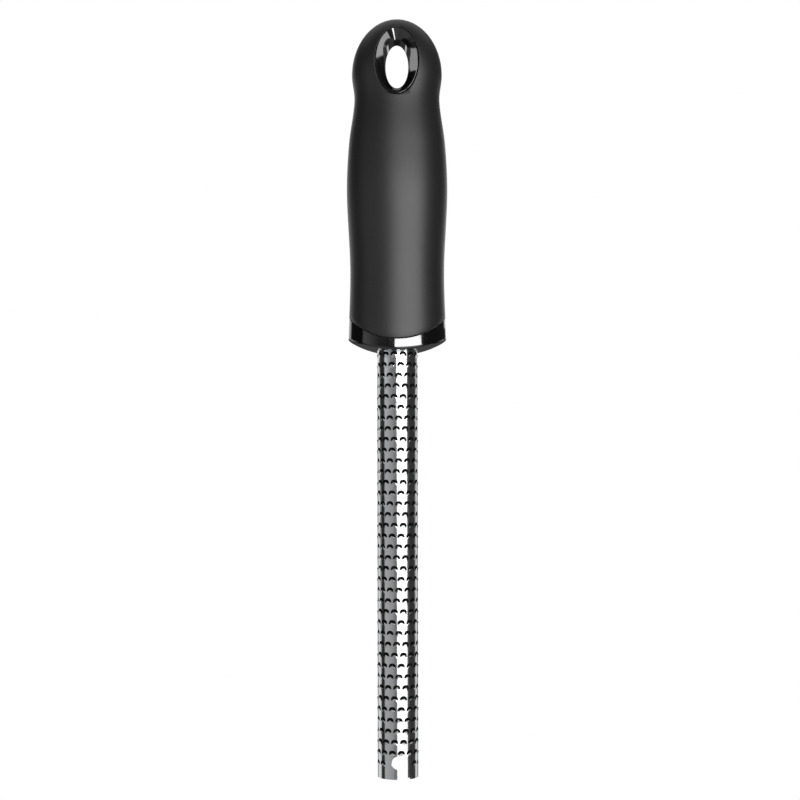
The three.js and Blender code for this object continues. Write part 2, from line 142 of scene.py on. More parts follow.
class GRATER_PG_cap(bpy.types.PropertyGroup):
    """Sizes of the glossy end cap."""
    end_drop: length("End", "Lowest point of the cap's arched end", 101.15)
    end_radius: length("End radius", "Radius of the cap's arched end", 38.0)
    edge_round: length("Edge round", "Rounding of the band's lower edge", 0.6)
    bore_round: length("Bore round", "Rounding where the tube comes out", 0.3)
    spigot_rise: length("Spigot rise", "Height of the spigot inside the handle", 39.0)
    seal_rise: length("Seal rise", "Height of the seal's groove", 8.0)
    seal_height: length("Seal height", "Width of the seal's groove", 2.4)
    seal_depth: length("Seal depth", "Depth of the seal's groove", 1.7)
    pin_rise: length("Pin rise", "Height of the cross pin", 26.0)
    pin_hole: length("Pin hole", "Diameter of the cross pin's hole", 3.5)


class GRATER_PG_tube(bpy.types.PropertyGroup):
    """Sizes of the grater tube and its teeth."""
    diameter: length("Diameter", "Outside of the tube", 14.0)
    wall: length("Wall", "Thickness of the steel sheet", 0.5)
    reach: length("Reach", "Length that stands out of the cap", 147.2)
    root: length("Root", "Length inside the handle", 43.0)
    hole_diameter: length("Tip hole", "Diameter of the hole near the tip", 4.5)
    hole_rise: length("Tip hole rise", "Height of the hole above the tip", 5.6)
    nick_width: length("Nick width", "Width of the nick in the tip's rim", 1.4)
    nick_height: length("Nick height", "Height of the nick in the tip's rim", 0.9)
    nick_turn: turn("Nick turn", "Place of the nick around the tube", 33)
    teeth_around: IntProperty(name="Teeth around", description="Places for teeth in a row", default=14)
    rows: IntProperty(name="Rows", description="Rows of teeth", default=39)
    row_pitch: length("Row pitch", "Distance between rows", 3.71)
    first_row: length("First row", "First row below the cap's end", 0.65)
    tooth_width: length("Tooth width", "Width of a tooth's arched slot", 2.6)
    tooth_arch: length("Tooth arch", "Height of the arch over the row's line", 0.65)
    tooth_leg: length("Tooth leg", "Depth of the slot's ends under the row's line", 0.85)
    arch_fullness: FloatProperty(name="Arch fullness", default=2.6,
                                 description="2 is an oval arch, more is squarer")
    slot_width: length("Slot width", "Opening between the arch and the cutting edge", 1.0)
    slot_leg: length("Slot leg", "Width of the slot's ends beside the cutting edge", 0.75)
    slot_taper: length("Slot taper", "How much closer the arch is on the inside of the sheet", 0.8)
    edge_lift: length("Edge lift", "Height of the cutting edge over the tube", 0.2)
    ramp: length("Ramp", "Length of the sheet that bends up under an edge", 0.9)
    seam_margin: length("Seam margin", "Bare sheet between the teeth and the seam", 1.0)
    hole_margin: length("Hole margin", "Bare sheet between the teeth and the tip hole", 0.4)


class GRATER_PG_finishes(bpy.types.PropertyGroup):
    """Colours of the finishes."""
    grip: colour("Grip", "Soft skin", "#171718")
    gloss: colour("Gloss", "Cap and eyelet", "#070708")
    steel: colour("Steel", "Tube", "#cbccce")
    # Painted shade: a dark steel colour for the inside of the tube and the walls of its slots, standing in
    # for the shade there
    painted_shade_steel: colour("Bare steel", "Inside of the tube and its slots", "#1c1c1d")
    pin: colour("Pin", "Cross pin", "#b4b6b9")
    plug: colour("Plug", "Plug in the tube", "#1c1c1e")
    seal: colour("Seal", "Seal ring", "#232325")
    floor: colour("Floor", "Floor", "#f2f2f1")


class GRATER_PG_stage(bpy.types.PropertyGroup):
    """Camera, lamps and floor."""
    distance: length("Camera distance", "Camera in front of the tool's middle plane", 560)
    drop: length("Camera drop", "Camera below the eyelet's middle", 144.26)
    offset: length("Camera offset", "Camera to the right of the tool's middle", 0.9)
    tilt: turn("Camera tilt", "Camera's upward tilt", 2.7)
    roll: turn("Camera roll", "Camera's roll about its view", -0.1)
    lens: FloatProperty(name="Lens", description="Focal length in millimetres", default=72, unit="CAMERA")
    sensor: FloatProperty(name="Sensor", description="Width in millimetres", default=36, unit="CAMERA")
    floor_gap: length("Floor gap", "Floor below the tube's tip", 120)
    floor_radius: length("Floor radius", "Half the width of the floor", 450)
    low_card_tilt: turn("Low card tilt", "Upward tilt of the low card", 40)


# Each lamp's reach from the tool's axis, drop below the eyelet's middle, width and height in millimetres,
# turn to the right of the camera in degrees, and brightness
LAMPS = {
    "key_softbox": ("Large softbox in front", (1200, 340, 1330, 656), 26.5, 2.3),
    "upper_softbox": ("Wide softbox over the key", (1200, -290, 1700, 360), 20, 4.5),
    "strip_lamp": ("Long flat lamp between the softboxes", (1200, -46, 1276, 80), 23, 20),
    "rim_lamp": ("Small lamp behind the grip's right edge", (79, 42, 26, 86), 140, 1),
    "right_card": ("Seen in the eyelet's left side", (400, -25, 280, 270), 66, 5),
    "left_card": ("Seen in the eyelet's right side", (400, -172, 170, 125), -72, 3.7),
    "low_card": ("Seen as a line at the eyelet's top", (230, 185, 45, 250), 38, 20),
}
for lamp, (description, millimetres, degrees, level) in LAMPS.items():
    label = lamp.replace("_", " ").capitalize()
    GRATER_PG_stage.__annotations__.update({
        lamp: lengths(label, description + ": reach, drop, width and height", millimetres),
        lamp + "_turn": turn(label + " turn", "Its place to the right of the camera", degrees),
        lamp + "_level": FloatProperty(name=label + " level", description="Its brightness", default=level),
    })


def sizes(*groups):
    return [getattr(bpy.context.scene, "grater_" + group) for group in groups]


def smooth_through(stations, drop, column):
    """A smooth curve through the stations, level at both ends."""
    last = len(stations) - 1
    if drop >= stations[last][0]:
        return stations[last][column]

    def slope(at):
        if at in (0, last):
            return 0
        before, after = stations[at - 1], stations[at + 1]
        return (after[column] - before[column]) / (after[0] - before[0])

    at = next(place for place in range(last) if drop <= stations[place + 1][0])
    here, there = stations[at], stations[at + 1]
    span = there[0] - here[0]
    t = (drop - here[0]) / span
    rise = here[column] * (1 + 2 * t) * (1 - t) ** 2 + span * slope(at) * t * (1 - t) ** 2
    return rise + there[column] * t * t * (3 - 2 * t) - span * slope(at + 1) * t * t * (1 - t)


def handle_half_sizes(drop):
    """Half width and half thickness of the handle at a drop below the eyelet's middle."""
    handle = bpy.context.scene.grater_handle
    stations = [handle.head, handle.neck, handle.shoulder, handle.belly, handle.waist, handle.lip]
    head_drop = handle.head[0]
    shrink = 1
    if drop < head_drop:
        shrink = math.sqrt(max(0, 1 - ((head_drop - drop) / (handle.crown_rise + head_drop)) ** 2))
    below = max(drop, head_drop)
    return [smooth_through(stations, below, column) / 2 * shrink for column in (1, 2)]


def surface_depth(x, z):
    """Distance of the handle's surface from the tool's middle plane."""
    half_width, half_thickness = handle_half_sizes(-z)
    return half_thickness * math.sqrt(max(0, 1 - (x / half_width) ** 2))


def end_arc(x, drop, radius):
    """Height of an arched end, lowest in the tool's middle."""
    return radius - drop - math.sqrt(radius * radius - x * x)


def circle_points(count):
    return [(math.cos(2 * math.pi * at / count), math.sin(2 * math.pi * at / count)) for at in range(count)]


def rounding(radius, steps):
    """How far each step of a rounding has turned in from its side, and is still short of its end."""
    leans = [math.radians(90 / steps * step) for step in range(steps + 1)]
    return [(radius * (1 - math.cos(lean)), radius * (1 - math.sin(lean))) for lean in leans]


def dome_ring(lean, inset, count):
    """A level ring of the head's dome."""
    handle = bpy.context.scene.grater_handle
    half_width = (handle.head[1] / 2 - inset) * math.cos(lean)
    half_thickness = (handle.head[2] / 2 - inset) * math.cos(lean)
    height = (handle.crown_rise + handle.head[0] - inset) * math.sin(lean) - handle.head[0]
    return [Vector((half_width * c, half_thickness * s, height)) for c, s in circle_points(count)]


def side_ring(share, inset, end_drop, end_radius, raised, count):
    """A ring at a share of the way from the head down to an arched end, which may be raised a little."""
    handle = bpy.context.scene.grater_handle
    ring = []
    for c, s in circle_points(count):
        drop = end_drop
        for _ in range(SETTLE_ROUNDS):
            half_width, half_thickness = handle_half_sizes(drop)
            x = (half_width - inset) * c
            low = -end_arc(x, end_drop, end_radius) - raised
            drop = handle.head[0] + (low - handle.head[0]) * share
        ring.append(Vector((x, (half_thickness - inset) * s, -drop)))
    return ring


def wall_rings(inset, raised, dome_rows, side_rows, count):
    """Rings of a handle-shaped wall from the crown to the grip's arched end."""
    handle = bpy.context.scene.grater_handle
    rings = [dome_ring(CROWN_LEAN * (1 - row / dome_rows), inset, count) for row in range(dome_rows)]
    for row in range(side_rows + 1):
        rings.append(side_ring(row / side_rows, inset, handle.end_drop, handle.end_radius, raised, count))
    return rings


def deselect():
    if bpy.context.object and bpy.context.object.mode != "OBJECT":
        bpy.ops.object.mode_set(mode="OBJECT")
    bpy.ops.object.select_all(action="DESELECT")


def make_active(piece):
    deselect()
    piece.select_set(True)
    bpy.context.view_layer.objects.active = piece


def shape(operator, **settings):
    """Adds one of Blender's own shapes."""
    deselect()
    operator(**settings)
    return bpy.context.object


def edit(piece):
    """Opens a piece for editing, with all of it selected."""
    make_active(piece)
    bpy.ops.object.mode_set(mode="EDIT")
    bpy.ops.mesh.select_all(action="SELECT")


def merge_points():
    bpy.ops.mesh.select_all(action="SELECT")
    bpy.ops.mesh.remove_doubles(threshold=MERGE_DISTANCE)


def face_outwards():
    bpy.ops.mesh.select_all(action="SELECT")
    bpy.ops.mesh.normals_make_consistent(inside=False)


def set_ring(piece, keys, ring):
    """Moves the selected ring to its own points and returns where each point now is."""
    mesh = bmesh.from_edit_mesh(piece.data)
    placed = {}
    for vert in mesh.verts:
        if vert.select:
            at = keys[tuple(vert.co)]
            vert.co = ring[at]
            placed[tuple(vert.co)] = at
    bmesh.update_edit_mesh(piece.data)
    return placed


def close_end(piece, keys):
    """Closes an open ring with a fan of triangles."""
    bpy.ops.mesh.select_all(action="DESELECT")
    mesh = bmesh.from_edit_mesh(piece.data)
    for vert in mesh.verts:
        vert.select_set(tuple(vert.co) in keys)
    mesh.select_flush_mode()
    bmesh.update_edit_mesh(piece.data)
    bpy.ops.mesh.edge_face_add()
    bpy.ops.mesh.poke()


def skin_rings(name, rings, looped=False):
    """A ring of edges is extruded again and again, and each new ring is moved to its own points.
    A looped skin ends on its first ring. Any other is closed by a fan at both ends."""
    circle = bpy.ops.mesh.primitive_circle_add
    piece = shape(circle, vertices=len(rings[0]), radius=1, fill_type="NOTHING")
    piece.name = name
    keys = {tuple(vert.co): vert.index for vert in piece.data.vertices}
    edit(piece)
    first = keys = set_ring(piece, keys, rings[0])
    for ring in rings[1:] + ([rings[0]] if looped else []):
        bpy.ops.mesh.extrude_edges_move()
        keys = set_ring(piece, keys, ring)
    if not looped:
        close_end(piece, first)
        close_end(piece, keys)
    merge_points()
    face_outwards()
    bpy.ops.object.mode_set(mode="OBJECT")
    return piece


def apply_modifier(piece, kind, **settings):
    make_active(piece)
    modifier = piece.modifiers.new(kind, kind)
    for name, value in settings.items():
        setattr(modifier, name, value)
    bpy.ops.object.modifier_apply(modifier=modifier.name)


def combine(piece, other, operation):
    """Cuts, joins or crosses a piece with another, which is used up."""
    apply_modifier(piece, "BOOLEAN", operation=operation, object=other, solver="EXACT")
    bpy.data.objects.remove(other, do_unlink=True)
    if not piece.data.polygons:
        raise RuntimeError("nothing is left of " + piece.name)


def oval_ring(half_x, half_z, depth, count):
    """An oval around the eyelet, at a depth that may differ from point to point."""
    ring = []
    for c, s in circle_points(count):
        x, z = half_x * c, half_z * s
        ring.append(Vector((x, depth(x, z), z)))
    return ring


def finish_piece(piece, materials, node):
    """Gives a finished piece its shading and materials, and puts it in place of a solid."""
    make_active(piece)
    bpy.ops.object.shade_smooth_by_angle(angle=SMOOTH_ANGLE)
    for material in materials:
        piece.data.materials.append(material)
    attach(piece, BODY)
    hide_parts(node)


def add_node(tree, kind, values=None, links=None, **settings):
    """Adds a node with its settings, socket values and incoming links."""
    node = tree.nodes.new(kind)
    for name, value in settings.items():
        setattr(node, name, value)
    for socket, value in (values or {}).items():
        node.inputs[socket].default_value = value
    for socket, source in (links or {}).items():
        tree.links.new(source, node.inputs[socket])
    return node


def new_material(name):
    material = bpy.data.materials.new(name)
    material.use_nodes = True
    material.node_tree.nodes.clear()
    return material, material.node_tree


def scale_for(millimetres):
    """Texture scale whose features are about this size."""
    return 1 / (millimetres * MM)


def soft_rubber():
    """Thermoplastic elastomer, moulded against a spark-eroded tool: dark grey, dull, with a fine even grain
    that spreads every highlight into a soft stripe. The grain is drawn at 0.5 mm, coarser than it is, so
    that it shows."""
    material, tree = new_material("moulded_elastomer")
    place = add_node(tree, "ShaderNodeTexCoord").outputs["Object"]
    grain = add_node(tree, "ShaderNodeTexNoise", {"Scale": scale_for(0.5), "Detail": 3}, {"Vector": place})
    patch = add_node(tree, "ShaderNodeTexNoise", {"Scale": scale_for(14), "Detail": 2}, {"Vector": place})
    base = bpy.context.scene.grater_finishes.grip
    tint = add_node(tree, "ShaderNodeValToRGB", links={"Fac": patch.outputs["Fac"]})
    tint.color_ramp.elements[0].color = [share * 0.9 for share in base] + [1]
    tint.color_ramp.elements[1].color = [share * 1.1 for share in base] + [1]
    dull = add_node(tree, "ShaderNodeMapRange", {"To Min": 0.38, "To Max": 0.48},
                    {"Value": grain.outputs["Fac"]})
    bump = add_node(tree, "ShaderNodeBump", {"Strength": 0.12, "Distance": 0.05 * MM},
                    {"Height": grain.outputs["Fac"]})
    surface = add_node(tree, "ShaderNodeBsdfPrincipled", {
        "IOR": 1.5, "Sheen Weight": 0.2, "Sheen Roughness": 0.3,
    }, {
        "Base Color": tint.outputs["Color"],
        "Roughness": dull.outputs["Result"],
        "Normal": bump.outputs["Normal"],
    })
    add_node(tree, "ShaderNodeOutputMaterial", links={"Surface": surface.outputs["BSDF"]})
    return material


def gloss_black():
    """Acrylonitrile butadiene styrene from a polished tool: black, with mirror-clear highlights that waver
    a little where the melt has flowed and sunk."""
    material, tree = new_material("polished_black_abs")
    place = add_node(tree, "ShaderNodeTexCoord").outputs["Object"]
    flow = add_node(tree, "ShaderNodeTexNoise", {"Scale": scale_for(9), "Detail": 1}, {"Vector": place})
    haze = add_node(tree, "ShaderNodeTexNoise", {"Scale": scale_for(1.2), "Detail": 3}, {"Vector": place})
    rough = add_node(tree, "ShaderNodeMapRange", {"To Min": 0.05, "To Max": 0.1},
                     {"Value": haze.outputs["Fac"]})
    bump = add_node(tree, "ShaderNodeBump", {"Strength": 0.05, "Distance": 0.05 * MM},
                    {"Height": flow.outputs["Fac"]})
    base = bpy.context.scene.grater_finishes.gloss
    surface = add_node(tree, "ShaderNodeBsdfPrincipled", {
        "Base Color": [*base, 1], "IOR": 1.6,
    }, {"Roughness": rough.outputs["Result"], "Normal": bump.outputs["Normal"]})
    add_node(tree, "ShaderNodeOutputMaterial", links={"Surface": surface.outputs["BSDF"]})
    return material


def etched_steel():
    """Stainless sheet, rolled bright, etched and electropolished: sharp-edged bands of light and dark along
    the tube, with the faint long streaks of the rolling mill. The streaks are drawn 0.4 mm wide, coarser
    than they are, so that they show."""
    material, tree = new_material("electropolished_stainless")
    place = add_node(tree, "ShaderNodeTexCoord").outputs["Object"]
    along = add_node(tree, "ShaderNodeMapping", {"Scale": (1, 1, 0.03)}, {"Vector": place})
    streak = add_node(tree, "ShaderNodeTexNoise", {"Scale": scale_for(0.4), "Detail": 2},
                      {"Vector": along.outputs["Vector"]})
    cloud = add_node(tree, "ShaderNodeTexNoise", {"Scale": scale_for(2.5), "Detail": 2}, {"Vector": place})
    rough = add_node(tree, "ShaderNodeMapRange", {"To Min": 0.09, "To Max": 0.17},
                     {"Value": streak.outputs["Fac"]})
    base = bpy.context.scene.grater_finishes.steel
    tint = add_node(tree, "ShaderNodeValToRGB", links={"Fac": cloud.outputs["Fac"]})
    tint.color_ramp.elements[0].color = [share * 0.93 for share in base] + [1]
    tint.color_ramp.elements[1].color = [*base, 1]
    bump = add_node(tree, "ShaderNodeBump", {"Strength": 0.04, "Distance": 0.02 * MM},
                    {"Height": streak.outputs["Fac"]})
    surface = add_node(tree, "ShaderNodeBsdfPrincipled", {"Metallic": 1.0}, {
        "Base Color": tint.outputs["Color"],
        "Roughness": rough.outputs["Result"],
        "Normal": bump.outputs["Normal"],
    })
    add_node(tree, "ShaderNodeOutputMaterial", links={"Surface": surface.outputs["BSDF"]})
    return material


def plain_finish(name, base, metallic, dull, bright, grain):
    """A plain finish whose gloss varies from place to place with a grain of this size in millimetres."""
    material, tree = new_material(name)
    place = add_node(tree, "ShaderNodeTexCoord").outputs["Object"]
    mottle = add_node(tree, "ShaderNodeTexNoise", {"Scale": scale_for(grain), "Detail": 3},
                      {"Vector": place}).outputs["Fac"]
    rough = add_node(tree, "ShaderNodeMapRange", {"To Min": bright, "To Max": dull}, {"Value": mottle})
    bump = add_node(tree, "ShaderNodeBump", {"Strength": 0.1, "Distance": 0.03 * MM}, {"Height": mottle})
    tint = add_node(tree, "ShaderNodeValToRGB", links={"Fac": mottle})
    tint.color_ramp.elements[0].color = [share * 0.9 for share in base] + [1]
    tint.color_ramp.elements[1].color = [*base, 1]
    surface = add_node(tree, "ShaderNodeBsdfPrincipled", {"Metallic": metallic}, {
        "Base Color": tint.outputs["Color"],
        "Roughness": rough.outputs["Result"],
        "Normal": bump.outputs["Normal"],
    })
    add_node(tree, "ShaderNodeOutputMaterial", links={"Surface": surface.outputs["BSDF"]})
    return material


class GRATER_OT_grip(bpy.types.Operator):
    """Models the soft skin with the eyelet's two openings"""
    bl_idname = "grater.grip"
    bl_label = "Soft grip"

    def execute(self, context):
        handle = context.scene.grater_handle
        rings = wall_rings(0, handle.edge_round, dome_rows=16, side_rows=48, count=FINE_COUNT)
        for inset, raised in rounding(handle.edge_round, steps=3)[1:]:
            rings.append(side_ring(1, inset, handle.end_drop, handle.end_radius, raised, FINE_COUNT))
        inside = wall_rings(handle.grip_wall, 0, dome_rows=10, side_rows=24, count=FINE_COUNT)
        rings.extend(reversed(inside))
        piece = skin_rings("moulded_grip", rings)
        combine(piece, self.mouth_cutter(), "DIFFERENCE")
        finish_piece(piece, [soft_rubber()], "soft_grip")
        return {"FINISHED"}

    def mouth_cutter(self):
        """A tunnel that widens a little at both faces, which rounds the skin's edge."""
        handle, eyelet = sizes("handle", "eyelet")
        half_x, half_z = eyelet.mouth_width / 2, eyelet.mouth_height / 2
        soft = eyelet.edge_round
        # Each ring's depth under the surface and its widening, first well outside and then as shares of the
        # edge's rounding
        flare = [(-handle.head[2] / 2, 1.4 * soft)]
        flare.extend((sunk * soft, wider * soft) for sunk, wider in
                     ((-0.15, 1), (0.05, 0.6), (0.35, 0.2), (1, 0)))
        rings = []
        for side, steps in ((-1, flare), (1, reversed(flare))):
            for sunk, wider in steps:
                def depth(x, z, side=side, sunk=sunk):
                    return side * (surface_depth(x, z) - sunk)
                rings.append(oval_ring(half_x + wider, half_z + wider, depth, MOUTH_COUNT))
        return skin_rings("mouth_cutter", rings)


class GRATER_OT_core(bpy.types.Operator):
    """Models the hard core with its eyelet, and parts it into a front and a rear half"""
    bl_idname = "grater.core"
    bl_label = "Core halves"

    def execute(self, context):
        handle, eyelet = sizes("handle", "eyelet")
        outer = handle.grip_wall + handle.fit
        inner = outer + handle.core_wall
        counts = {"dome_rows": 8, "side_rows": 24, "count": PLAIN_COUNT}
        rings = wall_rings(outer, 0, **counts)
        rings.extend(reversed(wall_rings(inner, 0, **counts)))
        core = skin_rings("core", rings)
        middle_x = (eyelet.mouth_width + eyelet.wall) / 2
        middle_z = (eyelet.mouth_height + eyelet.wall) / 2
        through = [oval_ring(middle_x, middle_z, lambda x, z, y=y: y, PLAIN_COUNT)
                   for y in (-handle.head[2], handle.head[2])]
        combine(core, skin_rings("core_opening", through), "DIFFERENCE")
        combine(core, self.eyelet_ring(outer), "UNION")
        gloss = gloss_black()
        halves = (("core_front", "handle_core_front", -1), ("core_rear", "handle_core_rear", 1))
        for name, node, side in halves:
            half = core.copy()
            half.data = core.data.copy()
            half.name = name
            context.scene.collection.objects.link(half)
            combine(half, self.half_block(side), "INTERSECT")
            finish_piece(half, [gloss], node)
        bpy.data.objects.remove(core, do_unlink=True)
        return {"FINISHED"}

    def half_block(self, side):
        """A block that holds all of the core on one side of the weld."""
        handle = bpy.context.scene.grater_handle
        wide, tall = 2 * handle.belly[1], 4 * handle.end_drop
        return shape(bpy.ops.mesh.primitive_cube_add, size=1, scale=(wide, wide, tall),
                     location=(0, side * (handle.weld_gap + wide) / 2, 0))

    def eyelet_ring(self, inset):
        """The tunnel that widens from its throat to both faces, and the wall around it."""
        handle, eyelet = sizes("handle", "eyelet")
        rim_x = eyelet.mouth_width / 2 - handle.fit
        rim_z = eyelet.mouth_height / 2 - handle.fit
        crest_x, crest_z = rim_x - eyelet.rim_round, rim_z - eyelet.rim_round
        throat_x, throat_z = eyelet.throat_width / 2, eyelet.throat_height / 2
        wall_x = eyelet.mouth_width / 2 + eyelet.wall
        wall_z = eyelet.mouth_height / 2 + eyelet.wall

        # Around the tunnel: the direction of each point and the depth of the mouth's crest there
        around = [(c, s, surface_depth(crest_x * c, crest_z * s)) for c, s in circle_points(FINE_COUNT)]

        def ring(half_x, half_z, side, sunk):
            """An oval whose points lie at a depth under the crest beside them."""
            return [Vector((half_x * c, side * (face - sunk), half_z * s)) for c, s, face in around]

        def flare(share):
            """How far the tunnel has widened at a share of the way from its throat to a face."""
            rounded = 1 - math.sqrt(1 - share * share)
            return share + (rounded - share) * eyelet.flare_share

        def tunnel_point(c, s, depth, across, along):
            """A point of the tunnel, widened by a share across and a share along the tool."""
            x = throat_x + (crest_x - throat_x) * across
            z = throat_z + (crest_z - throat_z) * along
            return Vector((x * c, depth, z * s))

        def rear(share):
            """An oval of the rear tunnel, which flares from the throat to its face."""
            wide = flare(share)
            return [tunnel_point(c, s, share * face, wide, wide) for c, s, face in around]

        def front(taper, bevel):
            """An oval of the front tunnel, a taper and then a bevel, with a flared floor."""
            wide = eyelet.taper_share * taper + (1 - eyelet.taper_share) * bevel
            points = []
            for c, s, face in around:
                depth = (face - eyelet.bevel_depth) * taper + eyelet.bevel_depth * bevel
                along = wide if s > 0 else flare(min(1, depth / face))
                points.append(tunnel_point(c, s, -depth, wide, along))
            return points

        steps = 12
        inner = [front(1, step / steps) for step in range(steps, 0, -1)]
        inner.extend(front(step / steps, 0) for step in range(steps, 0, -1))
        inner.extend(rear(math.sin(math.pi / 2 * step / (2 * steps))) for step in range(2 * steps + 1))
        rims = []
        for side in (-1, 1):
            rim = [ring(rim_x - short, rim_z - short, side, sunk)
                   for sunk, short in rounding(eyelet.rim_round, steps=4)[1:]]
            rim.append(ring(rim_x, rim_z, side, inset))
            rim.append(ring(wall_x, wall_z, side, inset + handle.core_wall / 2))
            rims.append(rim)
        return skin_rings("eyelet_ring", [*reversed(rims[0]), *inner, *rims[1]], looped=True)


class GRATER_OT_cap(bpy.types.Operator):
    """Models the glossy band with its arched end, and the spigot that holds the tube"""
    bl_idname = "grater.cap"
    bl_label = "End cap"

    def execute(self, context):
        handle, cap, tube = sizes("handle", "cap", "tube")
        sleeve = tube.diameter / 2 + handle.fit
        spigot = handle.grip_wall + handle.core_wall + 2 * handle.fit
        band_top = handle.end_drop + handle.fit

        def band(inset, drop, radius, raised=0.0):
            return side_ring(1, inset, drop, radius, raised, FINE_COUNT)

        def level(radius, height):
            return [Vector((radius * c, radius * s, height)) for c, s in circle_points(FINE_COUNT)]

        def on_end(ring):
            return [Vector((p.x, p.y, end_arc(p.x, cap.end_drop, cap.end_radius))) for p in ring]

        above_edge = cap.edge_round + handle.fit
        rings = [band(0, band_top, handle.end_radius), band(0, cap.end_drop, cap.end_radius, above_edge)]
        for inset, raised in rounding(cap.edge_round, steps=6):
            rings.append(band(inset, cap.end_drop, cap.end_radius, raised))
        rim = rings[-1]
        hole = on_end(level(sleeve + cap.bore_round, 0))
        end_rows = 6
        for row in range(1, end_rows + 1):
            rings.append(on_end([a.lerp(b, row / end_rows) for a, b in zip(rim, hole)]))
        for raised, wider in rounding(cap.bore_round, steps=3)[1:]:
            rings.append([p + Vector((0, 0, raised)) for p in on_end(level(sleeve + wider, 0))])
        groove = cap.seal_rise - cap.end_drop
        groove_top = groove + cap.seal_height
        spigot_top = cap.spigot_rise - cap.end_drop
        for wider, height in ((0, groove), (cap.seal_depth, groove), (cap.seal_depth, groove_top),
                              (0, groove_top), (0, spigot_top)):
            rings.append(level(sleeve + wider, height))
        half_width, half_thickness = handle_half_sizes(-spigot_top)
        rings.append([Vector(((half_width - spigot) * c, (half_thickness - spigot) * s, spigot_top))
                      for c, s in circle_points(FINE_COUNT)])
        rings.append(band(spigot, band_top, handle.end_radius))
        piece = skin_rings("end_cap", rings, looped=True)
        combine(piece, pin_cutter(), "DIFFERENCE")
        finish_piece(piece, [gloss_black()], "front_cap")
        return {"FINISHED"}


def pin_cutter():
    """A cylinder along the cross pin."""
    handle, cap = sizes("handle", "cap")
    return shape(bpy.ops.mesh.primitive_cylinder_add, vertices=PIN_COUNT, radius=cap.pin_hole / 2,
                 depth=2 * handle.belly[1], location=(0, 0, cap.pin_rise - cap.end_drop),
                 rotation=(0, math.pi / 2, 0))


